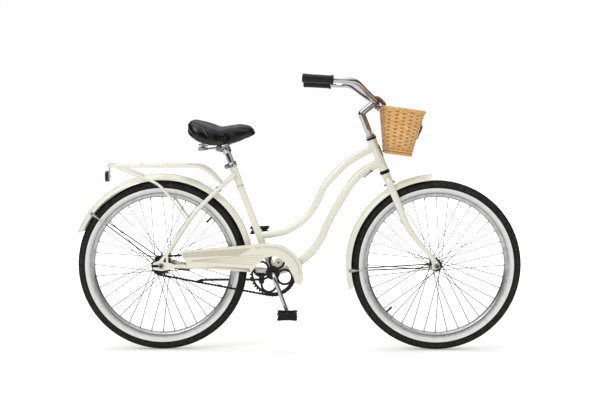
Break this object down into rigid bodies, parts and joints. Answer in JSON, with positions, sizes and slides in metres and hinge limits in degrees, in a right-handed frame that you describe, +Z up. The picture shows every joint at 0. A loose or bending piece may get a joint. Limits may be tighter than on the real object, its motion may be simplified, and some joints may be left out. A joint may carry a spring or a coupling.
{
  "type": "single-speed bicycle",
  "caption": "Step-through cruiser bicycle, single speed, with coaster brake, swept handlebar, wicker basket, sprung saddle, rear rack, mudguards, chain guard and side stand.",
  "frame": {"origin": "on the ground under the middle of the whole bicycle: its bounding box's bottom centre", "axes": "+X forwards, the way the bicycle rides; +Y to the rider's left, away from the chain; +Z up"},
  "size_m": [1.743, 0.6902, 1.0692],
  "materials": {
    "cream_paint": "glossy cream enamel",
    "chrome": "polished chrome plate",
    "black_steel": "satin black enamel",
    "spoke_steel": "zinc-plated steel",
    "alloy": "satin alloy",
    "tyre_rubber": "matt tread rubber",
    "soft_rubber": "soft grip rubber",
    "black_vinyl": "smooth black vinyl",
    "black_plastic": "moulded black plastic",
    "wicker": "woven honey-coloured wicker",
    "leather": "red-brown strap leather",
    "red_lens": "moulded red lens",
    "badge_metal": "dark plain metal plate"
  },
  "bodies": {
    "frame": {"head_tube": "cream_paint", "top_tube": "cream_paint", "down_tube": "cream_paint", "seat_tube": "cream_paint", "bottom_bracket_shell": "cream_paint", "headset_lower_cup": "chrome", "headset_upper_cup": "chrome", "bottom_bracket_cup_right": "chrome", "bottom_bracket_cup_left": "chrome", "chain_stays": "cream_paint", "seat_stays": "cream_paint", "dropout_right": "cream_paint", "dropout_left": "cream_paint", "rear_axle": "spoke_steel", "brake_shoes": "badge_metal", "brake_arm": "chrome", "rear_fender": "cream_paint", "rear_fender_stay": "spoke_steel", "chain": "black_steel", "chain_guard": "cream_paint", "kickstand_bracket": "black_steel", "rack": "cream_paint", "rack_strut_right": "cream_paint", "rack_strut_left": "cream_paint", "rear_reflector": "red_lens", "seat_clamp": "chrome", "head_badge": "badge_metal"},
    "fork": {"fork_steerer": "cream_paint", "fork_blade_right": "cream_paint", "fork_blade_left": "cream_paint", "headset_locknut": "chrome", "front_axle": "spoke_steel", "front_fender": "cream_paint", "front_fender_stay": "spoke_steel", "stem": "chrome", "handlebar": "chrome", "grip_right": "soft_rubber", "grip_left": "soft_rubber", "basket": "wicker", "basket_strap_right": "leather", "basket_strap_left": "leather"},
    "front_wheel": {"front_tyre": "tyre_rubber", "front_rim": "alloy", "front_hub_and_spokes": "spoke_steel"},
    "rear_wheel": {"rear_tyre": "tyre_rubber", "rear_rim": "alloy", "rear_hub_and_spokes": "spoke_steel"},
    "driver": {"rear_sprocket": "black_steel"},
    "crank": {"crank": "chrome", "chainring": "black_steel"},
    "pedal_right": {"pedal_right": "black_plastic"},
    "pedal_left": {"pedal_left": "black_plastic"},
    "kickstand": {"kickstand_leg": "black_steel"},
    "seat_post": {"seat_post": "chrome", "saddle_frame": "chrome", "saddle_spring_right": "chrome", "saddle_spring_left": "chrome"},
    "saddle": {"saddle_pad": "black_vinyl"}
  },
  "joints": [
    {"name": "steering", "type": "hinge", "parent": "frame", "child": "fork", "pos_m": [0.33293, 0, 0.706], "axis": [-0.3746, 0, 0.9272], "range_deg": [-60, 60]},
    {"name": "front_wheel_spin", "type": "hinge", "parent": "fork", "child": "front_wheel", "pos_m": [0.538, 0, 0.3335], "axis": [0, 1, 0], "continuous": true},
    {"name": "rear_wheel_spin", "type": "hinge", "parent": "frame", "child": "rear_wheel", "pos_m": [-0.538, 0, 0.3335], "axis": [0, 1, 0], "continuous": true},
    {"name": "crank_spin", "type": "hinge", "parent": "frame", "child": "crank", "pos_m": [-0.1025, 0, 0.3058], "axis": [0, 1, 0], "continuous": true},
    {"name": "driver_spin", "type": "hinge", "parent": "frame", "child": "driver", "pos_m": [-0.538, 0, 0.3335], "axis": [0, 1, 0], "continuous": true},
    {"name": "pedal_right_spin", "type": "hinge", "parent": "crank", "child": "pedal_right", "pos_m": [-0.04445, 0, 0.15135], "axis": [0, 1, 0], "continuous": true},
    {"name": "pedal_left_spin", "type": "hinge", "parent": "crank", "child": "pedal_left", "pos_m": [-0.16055, 0, 0.46025], "axis": [0, 1, 0], "continuous": true},
    {"name": "kickstand_swing", "type": "hinge", "parent": "frame", "child": "kickstand", "pos_m": [-0.15, 0.052, 0.268], "axis": [0, -0.9659, -0.2588], "range_deg": [0, 100]},
    {"name": "seat_height", "type": "slide", "parent": "frame", "child": "seat_post", "axis": [-0.3567, 0, 0.9342], "range_m": [-0.03, 0.06]},
    {"name": "saddle_bounce", "type": "hinge", "parent": "seat_post", "child": "saddle", "pos_m": [-0.2, 0, 0.8387], "axis": [0, -1, 0], "range_deg": [0, 4.5], "stiffness_Nm_per_rad": 1150, "deforming": ["saddle_spring_right", "saddle_spring_left"]}
  ],
  "couplings": [
    {"joint": "driver_spin", "follows": "crank_spin", "ratio": 2.4444}
  ]
}
